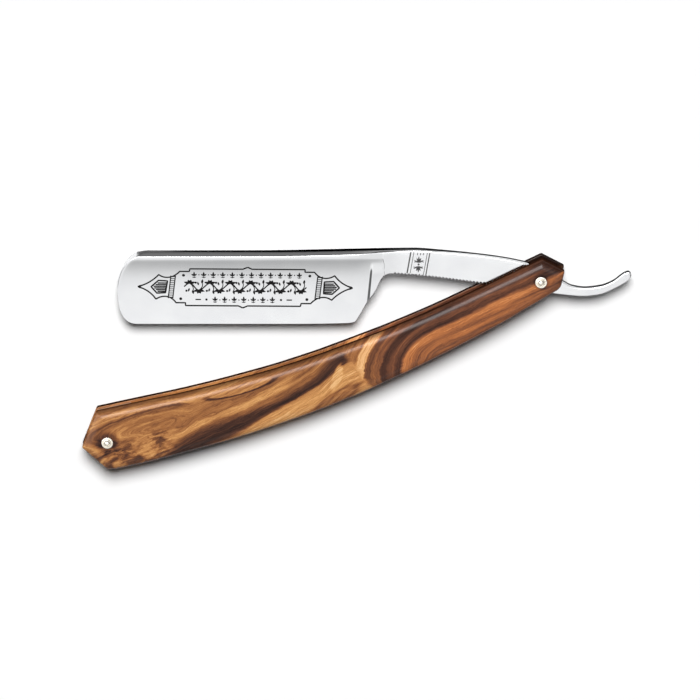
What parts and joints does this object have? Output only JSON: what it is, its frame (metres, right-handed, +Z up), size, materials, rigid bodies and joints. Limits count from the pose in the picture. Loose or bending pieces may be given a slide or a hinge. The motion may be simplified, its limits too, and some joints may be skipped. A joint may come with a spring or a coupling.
{
  "type": "straight razor",
  "caption": "Hollow-ground straight razor, half open: a steel blade with a curved tail turns on a pin between two figured wood scales joined by a tapered wedge.",
  "frame": {"origin": "centre of the bounding box, on the plane the razor lies on", "axes": "+X along the blade towards its tail, +Y from the cutting edge towards the spine, +Z up towards the show side"},
  "size_m": [0.169, 0.0696, 0.0124],
  "materials": {
    "blade_steel": "mirror polished",
    "figured_wood": "gloss varnished",
    "wedge_wood": "satin",
    "nickel_silver": "polished, warm white",
    "washer_bronze": "satin"
  },
  "bodies": {
    "handle": {"front_scale": "figured_wood", "back_scale": "figured_wood", "wedge": "wedge_wood", "pivot_pin": "nickel_silver", "wedge_pin": "nickel_silver", "pivot_collar_front": "nickel_silver", "pivot_inner_collar_front": "nickel_silver", "pivot_collar_back": "nickel_silver", "pivot_inner_collar_back": "nickel_silver", "wedge_collar_front": "nickel_silver", "wedge_inner_collar_front": "nickel_silver", "wedge_collar_back": "nickel_silver", "wedge_inner_collar_back": "nickel_silver", "thrust_washer_front": "washer_bronze", "thrust_washer_back": "washer_bronze"},
    "blade": {"blade": "blade_steel"}
  },
  "joints": [
    {"name": "blade_pivot", "type": "hinge", "parent": "handle", "child": "blade", "pos_m": [0.05665, 0.02566, 0.0062], "axis": [0, 0, -1], "range_deg": [-16.6, 306]}
  ]
}
